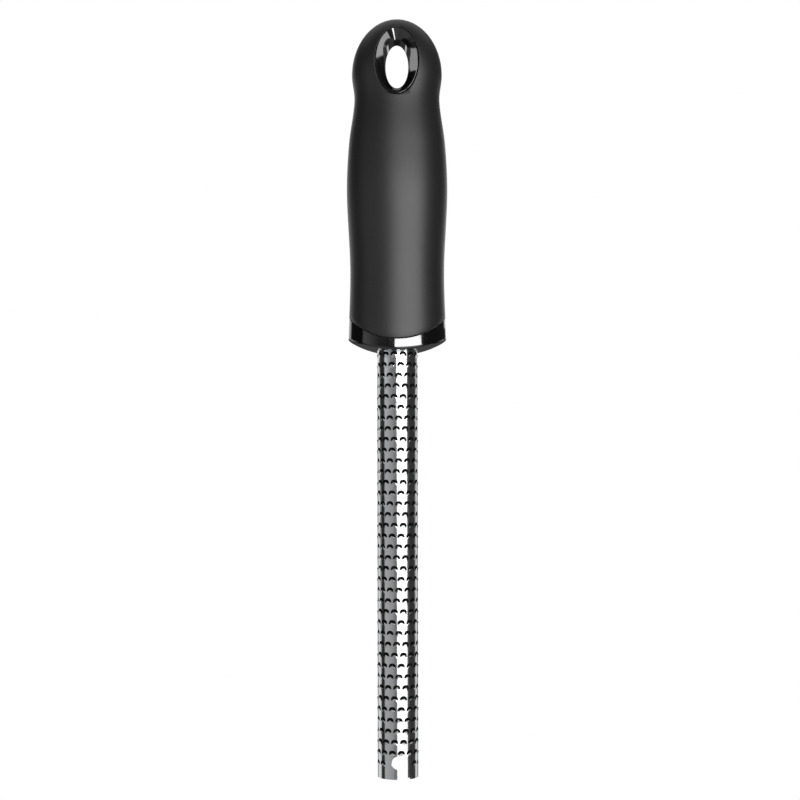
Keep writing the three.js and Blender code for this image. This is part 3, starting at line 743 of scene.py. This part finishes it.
class GRATER_OT_tube(bpy.types.Operator):
    """Models one tooth, repeats it over the flat sheet, and rolls the sheet into the tube"""
    bl_idname = "grater.tube"
    bl_label = "Grater tube"

    # Columns and rows of a tooth's cell, and sides of the cylinder that lends the sheet its shading
    columns = 8
    cell_rows = 4
    guide_sides = 256

    def execute(self, context):
        cap, tube = sizes("cap", "tube")
        radius = tube.diameter / 2
        around = tube.teeth_around * self.columns
        column = 2 * math.pi * radius / around
        # The sheet ends one column short of the back on both sides, which leaves the seam open
        edge = around // 2 - 1
        cap_end = -cap.end_drop
        tip, root = cap_end - tube.reach, cap_end + tube.root
        hole = tip + tube.hole_rise
        tooth = self.tooth_cell(column)
        pieces = []

        def patch(first, last, rows, bottom, top):
            """Plain sheet between two columns."""
            grid = bpy.ops.mesh.primitive_grid_add
            sheet = shape(grid, x_subdivisions=last - first, y_subdivisions=rows, size=1)
            for vert in sheet.data.vertices:
                x = first + (last - first) * (vert.co.x + 0.5)
                vert.co = (x * column, bottom + (top - bottom) * (vert.co.y + 0.5), 0)
            pieces.append(sheet)

        half = self.columns // 2
        for row in range(tube.rows):
            height = cap_end - tube.first_row - row * tube.row_pitch
            bottom, top = height - tube.row_pitch / 2, height + tube.row_pitch / 2
            # Each row steps by two columns, a quarter of the spacing
            shift = (half + 1 - 2 * row) % self.columns
            first = shift - self.columns * ((shift + edge) // self.columns)
            at = -edge
            for centre in range(first, edge + 1, self.columns):
                past_edge = centre - half < -edge or centre + half > edge
                if past_edge or self.is_plain(centre * column, height, hole):
                    continue
                if centre - half > at:
                    patch(at, centre - half, rows=1, bottom=bottom, top=top)
                copy = bpy.data.objects.new("tooth", tooth.data.copy())
                copy.location = (centre * column, height, 0)
                context.scene.collection.objects.link(copy)
                pieces.append(copy)
                at = centre + half
            if at < edge:
                patch(at, edge, rows=1, bottom=bottom, top=top)
        first_top = cap_end - tube.first_row + tube.row_pitch / 2
        last_bottom = cap_end - tube.first_row - (tube.rows - 0.5) * tube.row_pitch
        patch(-edge, edge, rows=6, bottom=first_top, top=root)
        patch(-edge, edge, rows=2, bottom=tip, top=last_bottom)
        bpy.data.objects.remove(tooth, do_unlink=True)
        piece = self.joined(pieces)
        # Etched sheet inside the tube and in its slots: unpolished and dull, and given a dark colour that
        # is painted shade, standing in for the shade in these hollows
        painted_shade_finish = plain_finish("etched_bare_stainless", context.scene.grater_finishes.painted_shade_steel,
                            metallic=1, dull=0.75, bright=0.6, grain=0.3)
        piece.data.materials.append(etched_steel())
        piece.data.materials.append(painted_shade_finish)
        apply_modifier(piece, "SOLIDIFY", thickness=tube.wall, offset=-1, material_offset=1,
                       material_offset_rim=1)
        taper = piece.data.attributes["taper"]
        for vert in piece.data.vertices:
            if vert.co.z < -tube.wall / 2:
                vert.co += taper.data[vert.index].vector
            lean, reach = vert.co.x / radius, radius + vert.co.z
            vert.co = (reach * math.sin(lean), -reach * math.cos(lean), vert.co.y)
        piece.data.attributes.remove(taper)
        combine(piece, self.hole_cutter(tip, hole), "DIFFERENCE")
        combine(piece, pin_cutter(), "DIFFERENCE")
        finish_piece(piece, [], "grater_tube")
        self.even_shading(piece)
        return {"FINISHED"}

    def even_shading(self, piece):
        """Gives the sheet between its raised edges the shading of a plain cylinder, so that reflections run
        straight down the tube."""
        tube, cap = sizes("tube", "cap")
        radius = tube.diameter / 2
        tolerance = tube.edge_lift / 10
        guide = shape(bpy.ops.mesh.primitive_cylinder_add, vertices=self.guide_sides, radius=radius,
                      depth=4 * tube.reach, location=(0, 0, -cap.end_drop))
        bpy.ops.object.shade_smooth_by_angle(angle=SMOOTH_ANGLE)
        group = piece.vertex_groups.new(name="flat_sheet")
        for vert in piece.data.vertices:
            if abs(math.hypot(vert.co.x, vert.co.y) - radius) < tolerance:
                group.add([vert.index], 1, "REPLACE")
        apply_modifier(piece, "DATA_TRANSFER", object=guide, use_loop_data=True,
                       data_types_loops={"CUSTOM_NORMAL"}, loop_mapping="POLYINTERP_NEAREST",
                       vertex_group=group.name)
        piece.vertex_groups.clear()
        bpy.data.objects.remove(guide, do_unlink=True)

    def is_plain(self, along, height, hole):
        """Whether a tooth would come too close to the seam, to the tip hole or to the notch behind it."""
        tube = bpy.context.scene.grater_tube
        from_front = abs(along)
        from_seam = math.pi * tube.diameter / 2 - from_front
        half = tube.tooth_width / 2
        if from_seam < half + tube.seam_margin:
            return True
        reach = tube.hole_diameter / 2 + tube.hole_margin
        above = height + tube.tooth_arch > hole - reach
        below = height - tube.tooth_leg < hole + reach
        return above and below and min(from_front, from_seam) < half + reach

    def tooth_cell(self, column):
        """One tooth in its cell of flat sheet: a grid whose middle rows become the ramp, the cutting edge
        and the arch, with the slot left open between edge and arch."""
        tube = bpy.context.scene.grater_tube
        cell = shape(bpy.ops.mesh.primitive_grid_add, x_subdivisions=self.columns,
                     y_subdivisions=self.cell_rows, size=1)
        cell.name = "tooth_cell"
        half = tube.tooth_width / 2
        foot = -tube.tooth_leg
        arch = tube.tooth_arch - foot
        bend = 2 / tube.arch_fullness
        ramp_row, edge_row, arch_row = 1, 2, 3
        rows = {}
        for vert in cell.data.vertices:
            across = round((vert.co.x + 0.5) * self.columns)
            row = round((vert.co.y + 0.5) * self.cell_rows)
            lean = math.pi * across / self.columns
            side, rise = math.cos(lean), max(0, math.sin(lean)) ** bend
            x, y, lift = -half * math.copysign(abs(side) ** bend, side), foot, 0
            if row in (0, self.cell_rows):
                x = (across - self.columns / 2) * column
                y = (row / self.cell_rows - 0.5) * tube.row_pitch
            elif row == ramp_row:
                y = foot - tube.ramp * rise
            elif row == edge_row:
                x *= 1 - tube.slot_leg / half
                y = foot + (arch - tube.slot_width) * rise
                lift = tube.edge_lift * rise
            else:
                y = foot + arch * rise
            rows[vert.index] = row
            vert.co = (x, y, lift)
        edit(cell)
        bpy.ops.mesh.select_all(action="DESELECT")
        mesh = bmesh.from_edit_mesh(cell.data)
        for face in mesh.faces:
            face.select_set({rows[vert.index] for vert in face.verts} == {edge_row, arch_row})
        bmesh.update_edit_mesh(cell.data)
        bpy.ops.mesh.delete(type="FACE")
        merge_points()
        for side in (-1, 1):
            bpy.ops.mesh.select_all(action="DESELECT")
            mesh = bmesh.from_edit_mesh(cell.data)
            wide = max(abs(vert.co.x) for vert in mesh.verts)
            corners = [vert for vert in mesh.verts if vert.co.x * side > wide - MERGE_DISTANCE]
            ends = [vert for vert in mesh.verts
                    if abs(vert.co.y - foot) < MERGE_DISTANCE and vert.co.x * side > 0]
            corners.append(max(ends, key=lambda vert: abs(vert.co.x)))
            for vert in corners:
                vert.select_set(True)
            bmesh.update_edit_mesh(cell.data)
            bpy.ops.mesh.edge_face_add()
        face_outwards()
        mesh = bmesh.from_edit_mesh(cell.data)
        if sum(face.normal.z for face in mesh.faces) < 0:
            bpy.ops.mesh.flip_normals()
        bpy.ops.object.mode_set(mode="OBJECT")
        tolerance = 0.01
        taper = cell.data.attributes.new("taper", "FLOAT_VECTOR", "POINT")
        for vert in cell.data.vertices:
            outward = Vector((vert.co.x / half, (vert.co.y - foot) / arch, 0))
            full = sum(abs(share) ** tube.arch_fullness for share in outward)
            on_arch = abs(full - 1) < tolerance and outward.y > -tolerance
            taper.data[vert.index].vector = -tube.slot_taper * outward if on_arch else (0, 0, 0)
        return cell

    def joined(self, pieces):
        """The flat patches and teeth as one sheet."""
        deselect()
        for patch in pieces:
            patch.select_set(True)
        bpy.context.view_layer.objects.active = pieces[-1]
        bpy.ops.object.join()
        piece = bpy.context.object
        piece.name = "toothed_tube"
        edit(piece)
        merge_points()
        bpy.ops.object.mode_set(mode="OBJECT")
        return piece

    def hole_cutter(self, tip, hole):
        """The tip hole in the front, the notch behind it that is open to the rim, and the rim's nick."""
        tube = bpy.context.scene.grater_tube

        def drill_through(side):
            """A cylinder from half way between axis and wall to well outside the tube."""
            drill = shape(bpy.ops.mesh.primitive_cylinder_add, vertices=PLAIN_COUNT, depth=tube.diameter,
                          radius=tube.hole_diameter / 2, rotation=(math.pi / 2, 0, 0),
                          location=(0, side * 0.75 * tube.diameter, hole))
            bpy.ops.object.transform_apply()
            return drill

        drill, notch = drill_through(-1), drill_through(1)
        for vert in notch.data.vertices:
            down = 2 * tube.hole_rise if vert.co.z < hole - MERGE_DISTANCE else 0
            vert.co.z -= tube.hole_diameter / 2 + down
        wedge = shape(bpy.ops.mesh.primitive_cylinder_add, vertices=4, radius=1, depth=1)
        # The wedge is a radius long and its middle stands at this share of the radius
        wedge_place = 0.7
        for vert in wedge.data.vertices:
            x, y, z = vert.co
            out = tube.diameter / 2 * (z + wedge_place)
            vert.co = (x * tube.nick_width / 2, -out, y * tube.nick_height + tip)
        wedge.data.transform(Matrix.Rotation(tube.nick_turn, 4, "Z"))
        edit(wedge)
        face_outwards()
        bpy.ops.object.mode_set(mode="OBJECT")
        notch.select_set(True)
        drill.select_set(True)
        bpy.context.view_layer.objects.active = drill
        bpy.ops.object.join()
        return bpy.context.object


class GRATER_OT_inside(bpy.types.Operator):
    """Gives the solids inside the handle their finishes"""
    bl_idname = "grater.inside"
    bl_label = "Plug, pin and seal"

    def execute(self, context):
        colours = context.scene.grater_finishes
        # Polyamide moulding: dull, with the faint mottle of a plain tool
        plug = plain_finish("moulded_polyamide", colours.plug, metallic=0, dull=0.6, bright=0.45, grain=0.8)
        # Ground stainless pin: bright with a soft grain
        pin = plain_finish("ground_stainless", colours.pin, metallic=1, dull=0.4, bright=0.25, grain=0.4)
        # Silicone ring: dull and dark
        seal = plain_finish("moulded_silicone", colours.seal, metallic=0, dull=0.85, bright=0.7, grain=0.6)
        for node, finish in (("tube_plug", plug), ("lock_pin", pin), ("tube_seal", seal)):
            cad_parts[node].material_slots[0].material = finish
        return {"FINISHED"}


class GRATER_OT_stage(bpy.types.Operator):
    """Sets up the floor, the lamps, the studio walls and the camera"""
    bl_idname = "grater.stage"
    bl_label = "Stage"

    def execute(self, context):
        scene = context.scene
        stage = scene.grater_stage
        scene.view_settings.view_transform = "Standard"
        self.floor()
        self.walls()
        for name in ("key_softbox", "upper_softbox", "strip_lamp", "rim_lamp"):
            self.lamp(name)
        self.eyelet_cards()
        camera = bpy.data.objects.new("camera", bpy.data.cameras.new("camera"))
        camera.data.lens = stage.lens
        camera.data.sensor_width = stage.sensor
        camera.location = (stage.offset, -stage.distance, -stage.drop)
        look = Euler((math.pi / 2 + stage.tilt, 0, 0)).to_matrix()
        camera.rotation_euler = (look @ Matrix.Rotation(stage.roll, 3, "Z")).to_euler()
        scene.collection.objects.link(camera)
        scene.camera = camera
        return {"FINISHED"}

    def floor(self):
        """A pale round floor well below the hanging tool."""
        stage = bpy.context.scene.grater_stage
        low = cad_box[0][2] - stage.floor_gap
        floor = shape(bpy.ops.mesh.primitive_circle_add, vertices=FINE_COUNT, radius=stage.floor_radius,
                      fill_type="NGON", location=(0, 0, low))
        floor.name = "floor"
        material, tree = new_material("pale_floor")
        place = add_node(tree, "ShaderNodeTexCoord").outputs["Object"]
        cloud = add_node(tree, "ShaderNodeTexNoise", {"Scale": scale_for(60)}, {"Vector": place})
        rough = add_node(tree, "ShaderNodeMapRange", {"To Min": 0.7, "To Max": 0.8},
                         {"Value": cloud.outputs["Fac"]})
        base = [*bpy.context.scene.grater_finishes.floor, 1]
        surface = add_node(tree, "ShaderNodeBsdfPrincipled", {"Base Color": base},
                           {"Roughness": rough.outputs["Result"]})
        add_node(tree, "ShaderNodeOutputMaterial", links={"Surface": surface.outputs["BSDF"]})
        floor.data.materials.append(material)

    def walls(self):
        """Studio walls around the tool, in zones from low to high: dark flags at its sides, a grey panel at
        the left front, and lit panels behind it that differ from zone to zone. Each zone lists degrees to
        the right of the camera with a brightness. Seen by the camera itself, the walls are plain white."""
        world = bpy.data.worlds.new("studio")
        world.use_nodes = True
        bpy.context.scene.world = world
        tree = world.node_tree
        tree.nodes.clear()
        ray = add_node(tree, "ShaderNodeTexCoord").outputs["Generated"]
        parts = add_node(tree, "ShaderNodeSeparateXYZ", links={"Vector": ray})
        front = add_node(tree, "ShaderNodeMath", {0: 0.0}, {1: parts.outputs["Y"]}, operation="SUBTRACT")
        angle = add_node(tree, "ShaderNodeMath", links={0: parts.outputs["X"], 1: front.outputs[0]},
                         operation="ARCTAN2")
        share = add_node(tree, "ShaderNodeMapRange", {"From Min": -math.pi, "From Max": math.pi},
                         {"Value": angle.outputs[0]}).outputs["Result"]
        sides = [(-83, 0.03), (-77, 0.6), (-50, 0.52), (-24, 0.42), (-17, 0.25), (45, 0.25), (70, 0.05)]
        deep = [(-180, 0.03), (-92, 0.03), *sides, (95, 0.05), (180, 0.03)]
        low = [(-180, 0.1), (-152, 0.1), (-146, 1.0), (-111, 1.0), (-105, 0.03), *sides,
               (114, 0.05), (120, 0.9), (146, 0.9), (152, 0.1), (180, 0.1)]
        middle = [(-180, 0.05), (-156, 0.05), (-151, 0.6), (-135, 1.0), (-124, 1.0), (-119, 0.03), *sides,
                  (124, 0.05), (129, 0.9), (151, 0.8), (156, 0.05), (180, 0.05)]
        band = [(-180, 1.25), (-138, 1.25), (-132, 0.03), (-83, 0.03), (-77, 1.1), (-62, 0.8), (-38, 0.05),
                (150, 0.05), (156, 1.25), (180, 1.25)]
        rim = [(-180, 0.05), (-163, 0.05), (-158, 0.9), (-145, 0.9), (-138, 0.03), *sides, (180, 0.05)]
        high = [(-180, 0.03), (180, 0.03)]
        top = [(-180, 0.6), (-110, 0.6), (-95, 0.03), (95, 0.03), (110, 0.6), (180, 0.6)]
        walls = self.wall_ramp(tree, share, deep)
        # Degrees above level between which one zone gives way to the next
        zones = ((low, -20, -15), (middle, -9, 3), (band, 3.7, 4.1), (rim, 6, 9), (high, 20, 23),
                 (top, 34, 42))
        for stops, start, end in zones:
            rise = add_node(tree, "ShaderNodeMapRange", {
                "From Min": math.sin(math.radians(start)), "From Max": math.sin(math.radians(end)),
            }, {"Value": parts.outputs["Z"]})
            zone = self.wall_ramp(tree, share, stops)
            links = {"Fac": rise.outputs["Result"], "Color1": walls, "Color2": zone}
            walls = add_node(tree, "ShaderNodeMixRGB", links=links).outputs["Color"]
        seen = add_node(tree, "ShaderNodeLightPath").outputs["Is Camera Ray"]
        studio = add_node(tree, "ShaderNodeBackground", links={"Color": walls})
        white = add_node(tree, "ShaderNodeBackground", {"Color": (1, 1, 1, 1)})
        links = {"Fac": seen, 1: studio.outputs["Background"], 2: white.outputs["Background"]}
        both = add_node(tree, "ShaderNodeMixShader", links=links)
        add_node(tree, "ShaderNodeOutputWorld", links={"Surface": both.outputs["Shader"]})

    def wall_ramp(self, tree, share, stops):
        """Brightness of one zone of the walls all round."""
        ramp = add_node(tree, "ShaderNodeValToRGB", links={"Fac": share})
        elements = ramp.color_ramp.elements
        elements.remove(elements[-1])
        for at, (degrees, level) in enumerate(stops):
            place = (degrees + 180) / 360
            element = elements[0] if at == 0 else elements.new(place)
            element.position = place
            element.color = (level, level, level, 1)
        return ramp.outputs["Color"]

    def lamp(self, name):
        """A flat lamp, turned to face the tool's axis."""
        stage = bpy.context.scene.grater_stage
        reach, drop, width, height = getattr(stage, name)
        lean = getattr(stage, name + "_turn")
        light = bpy.data.lights.new(name, "AREA")
        light.shape = "RECTANGLE"
        light.size, light.size_y = width, height
        light.energy = getattr(stage, name + "_level") * math.pi * width * height
        lamp = bpy.data.objects.new(name, light)
        lamp.location = (reach * math.sin(lean), -reach * math.cos(lean), -drop)
        lamp.rotation_euler = (math.pi / 2, 0, lean)
        lamp.visible_camera = False
        bpy.context.scene.collection.objects.link(lamp)
        return lamp

    def eyelet_cards(self):
        """Small cards that light only the core, where the eyelet mirrors them."""
        cores = bpy.data.collections.new("cores")
        for name in ("core_front", "core_rear"):
            cores.objects.link(bpy.data.objects[name])
        for name in ("right_card", "left_card", "low_card"):
            card = self.lamp(name)
            card.light_linking.receiver_collection = cores
        bpy.data.objects["low_card"].rotation_euler.x += bpy.context.scene.grater_stage.low_card_tilt


class GRATER_PT_sidebar(bpy.types.Panel):
    """Lists the grater's sizes and its making steps"""
    bl_idname = "GRATER_PT_sidebar"
    bl_label = "Spice grater"
    bl_space_type = "VIEW_3D"
    bl_region_type = "UI"
    bl_category = "Grater"

    def draw(self, context):
        for step in STEPS:
            self.layout.operator(step.bl_idname)
        for name, group in GROUPS.items():
            box = self.layout.box()
            for field in group.__annotations__:
                box.prop(getattr(context.scene, name), field)


STEPS = (GRATER_OT_grip, GRATER_OT_core, GRATER_OT_cap, GRATER_OT_tube, GRATER_OT_inside, GRATER_OT_stage)
GROUPS = {
    "grater_handle": GRATER_PG_handle,
    "grater_eyelet": GRATER_PG_eyelet,
    "grater_cap": GRATER_PG_cap,
    "grater_tube": GRATER_PG_tube,
    "grater_finishes": GRATER_PG_finishes,
    "grater_stage": GRATER_PG_stage,
}


def register():
    for name, group in GROUPS.items():
        bpy.utils.register_class(group)
        setattr(bpy.types.Scene, name, PointerProperty(type=group))
    for step in STEPS:
        bpy.utils.register_class(step)
    bpy.utils.register_class(GRATER_PT_sidebar)


def unregister():
    bpy.utils.unregister_class(GRATER_PT_sidebar)
    for step in reversed(STEPS):
        bpy.utils.unregister_class(step)
    for name, group in GROUPS.items():
        delattr(bpy.types.Scene, name)
        bpy.utils.unregister_class(group)


def main():
    register()
    bpy.ops.grater.grip()
    bpy.ops.grater.core()
    bpy.ops.grater.cap()
    bpy.ops.grater.tube()
    bpy.ops.grater.inside()
    bpy.ops.grater.stage()
    deselect()


if __name__ == "__main__":
    main()
